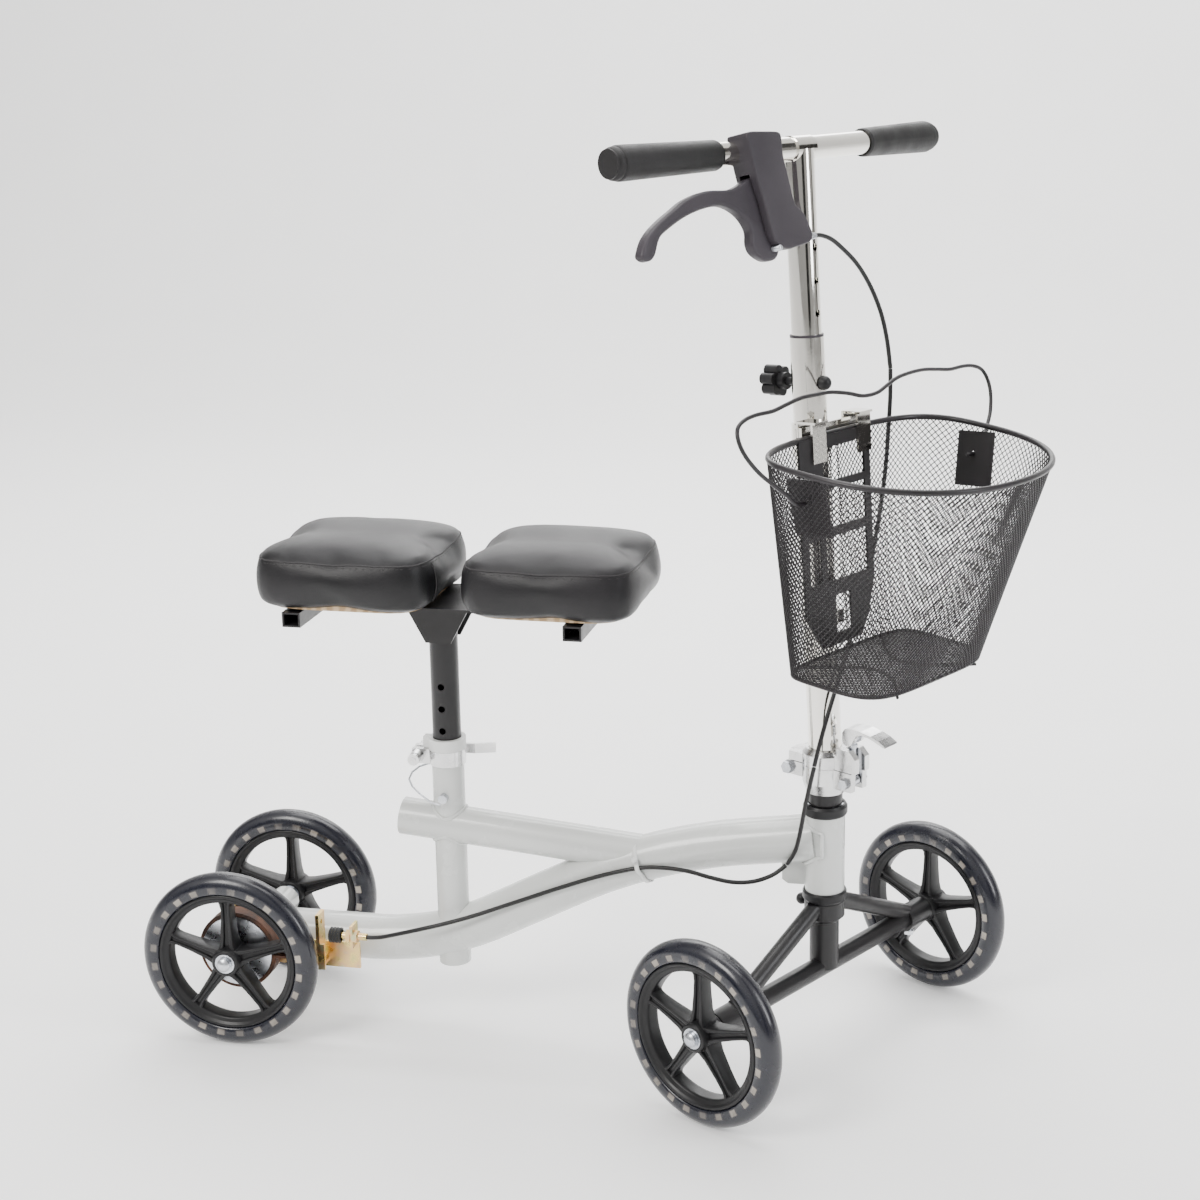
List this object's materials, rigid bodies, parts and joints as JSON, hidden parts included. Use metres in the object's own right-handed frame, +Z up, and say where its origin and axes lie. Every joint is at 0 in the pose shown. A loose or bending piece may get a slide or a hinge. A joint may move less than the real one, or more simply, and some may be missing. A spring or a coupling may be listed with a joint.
{
  "type": "knee scooter",
  "caption": "Steerable knee scooter with a white tube frame, two kneeling pads, a folding handlebar column, a wire basket and a cable band brake.",
  "frame": {"origin": "the floor point under the middle of the scooter's overall box, as it stands with its bars turned to the right", "axes": "+X forward along the main tube, +Y to the rider's left, +Z up"},
  "size_m": [0.976, 0.4944, 0.9986],
  "materials": {
    "white_paint": "gloss",
    "black_paint": "semi-gloss",
    "chrome": "polished",
    "zinc": "satin",
    "yellow_zinc": "satin",
    "alloy": "polished",
    "tyre": "gloss",
    "black_nylon": "satin",
    "grey_plastic": "satin",
    "white_plastic": "satin",
    "grip_rubber": "matte",
    "vinyl": "semi-gloss grain",
    "board": "raw",
    "cable_cover": "semi-gloss",
    "black_wire": "satin",
    "lining": "matte"
  },
  "bodies": {
    "frame": {"main_tube": "white_paint", "top_tube": "white_paint", "seat_tube": "white_paint", "head_tube": "white_paint", "rear_axle_tube": "white_paint", "seat_collar": "white_plastic", "seat_clamp": "alloy", "headset_cups": "black_nylon", "headset_bearings": "zinc", "rear_axle_bolts": "zinc", "rear_wheel_bearings": "zinc", "brake_plate": "yellow_zinc", "brake_band": "lining", "cable_adjuster": "yellow_zinc", "brake_cable_frame": "cable_cover"},
    "clamp_lever": {"seat_clamp_lever": "alloy"},
    "brake_arm": {"brake_arm": "yellow_zinc"},
    "hitch_pin": {"hitch_pin": "zinc"},
    "seat": {"seat_post": "black_paint", "seat_plate": "black_paint", "seat_cross_tubes": "black_paint", "pad_boards": "board", "rear_pad": "vinyl", "front_pad": "vinyl"},
    "fork": {"steerer": "black_paint", "fork_diagonals": "black_paint", "fork_beam": "black_paint", "front_axle_bolts": "zinc", "front_wheel_bearings": "zinc", "hinge_lower_block": "alloy", "hinge_pins": "zinc", "brake_cable_steer": "cable_cover"},
    "swing_bolt": {"swing_bolt": "zinc"},
    "latch_lever": {"latch_lever": "alloy"},
    "column": {"hinge_upper_block": "alloy", "column_tube": "chrome", "column_bushing": "grey_plastic", "basket_bracket": "chrome", "height_cap": "black_nylon", "brake_cable_fold": "cable_cover"},
    "height_knob": {"height_knob": "black_nylon"},
    "stem": {"stem_tube": "chrome", "handlebar": "chrome", "grips": "grip_rubber", "brake_housing": "grey_plastic", "brake_cable_upper": "cable_cover"},
    "brake_lever": {"brake_lever": "grey_plastic"},
    "rear_right_wheel": {"rear_right_tyre": "tyre", "rear_right_rim": "black_nylon", "brake_drum": "zinc"},
    "rear_left_wheel": {"rear_left_tyre": "tyre", "rear_left_rim": "black_nylon"},
    "front_right_wheel": {"front_right_tyre": "tyre", "front_right_rim": "black_nylon"},
    "front_left_wheel": {"front_left_tyre": "tyre", "front_left_rim": "black_nylon"},
    "basket": {"basket": "black_wire", "basket_frame": "black_wire", "basket_hooks": "chrome"},
    "basket_handle": {"basket_handle": "black_wire"}
  },
  "joints": [
    {"name": "steering", "type": "hinge", "parent": "frame", "child": "fork", "pos_m": [0.261, -0.014, 0.23], "axis": [0, 0, 1], "range_deg": [-15.7, 74.3], "deforming": ["brake_cable_steer"]},
    {"name": "column_fold", "type": "hinge", "parent": "fork", "child": "column", "pos_m": [0.22961, 0.00362, 0.326], "axis": [-0.4894, -0.8721, 0], "range_deg": [0, 30], "deforming": ["brake_cable_fold"]},
    {"name": "swing_bolt_pivot", "type": "hinge", "parent": "fork", "child": "swing_bolt", "pos_m": [0.29239, -0.03162, 0.322], "axis": [0.4894, 0.8721, 0], "range_deg": [0, 90]},
    {"name": "latch_lever_cam", "type": "hinge", "parent": "swing_bolt", "child": "latch_lever", "pos_m": [0.29239, -0.03162, 0.3695], "axis": [-0.4894, -0.8721, 0], "range_deg": [0, 80]},
    {"name": "seat_height", "type": "slide", "parent": "frame", "child": "seat", "axis": [0, 0, 1], "range_m": [-0.1, 0.05]},
    {"name": "seat_clamp_cam", "type": "hinge", "parent": "frame", "child": "clamp_lever", "pos_m": [-0.19, 0.008, 0.3165], "axis": [0, 0, 1], "range_deg": [0, 100]},
    {"name": "hitch_pin_pull", "type": "slide", "parent": "frame", "child": "hitch_pin", "axis": [0, -1, 0], "range_m": [0, 0.03]},
    {"name": "handlebar_height", "type": "slide", "parent": "column", "child": "stem", "axis": [-0.0555, 0.0312, 0.998], "range_m": [-0.134, 0.0335], "deforming": ["brake_cable_upper"]},
    {"name": "height_knob_turn", "type": "hinge", "parent": "column", "child": "height_knob", "pos_m": [0.20387, 0.01806, 0.73864], "axis": [0.8703, -0.4884, 0.0637], "continuous": true},
    {"name": "brake_squeeze", "type": "hinge", "parent": "stem", "child": "brake_lever", "pos_m": [0.20915, -0.07664, 0.88422], "axis": [-0.8485, 0.4762, -0.2309], "range_deg": [0, 10], "stiffness_Nm_per_rad": 2},
    {"name": "brake_arm_pull", "type": "hinge", "parent": "frame", "child": "brake_arm", "pos_m": [-0.292, -0.076, 0.086], "axis": [0, 1, 0], "range_deg": [0, 5]},
    {"name": "rear_right_roll", "type": "hinge", "parent": "frame", "child": "rear_right_wheel", "pos_m": [-0.384, -0.108, 0.1], "axis": [0, 1, 0], "continuous": true},
    {"name": "rear_left_roll", "type": "hinge", "parent": "frame", "child": "rear_left_wheel", "pos_m": [-0.384, 0.08, 0.1], "axis": [0, 1, 0], "continuous": true},
    {"name": "front_right_roll", "type": "hinge", "parent": "fork", "child": "front_right_wheel", "pos_m": [0.16117, -0.1919, 0.1], "axis": [0.4894, 0.8721, 0], "continuous": true},
    {"name": "front_left_roll", "type": "hinge", "parent": "fork", "child": "front_left_wheel", "pos_m": [0.36083, 0.1639, 0.1], "axis": [0.4894, 0.8721, 0], "continuous": true},
    {"name": "basket_lift", "type": "slide", "parent": "column", "child": "basket", "axis": [-0.0555, 0.0312, 0.998], "range_m": [0, 0.03]},
    {"name": "basket_handle_swing", "type": "hinge", "parent": "basket", "child": "basket_handle", "pos_m": [0.33419, -0.05507, 0.65799], "axis": [0.4894, 0.8721, 0], "range_deg": [-25, 88]}
  ],
  "couplings": [
    {"joint": "brake_arm_pull", "follows": "brake_squeeze", "ratio": 0.5},
    {"joint": "swing_bolt_pivot", "follows": "column_fold", "ratio": 3}
  ]
}
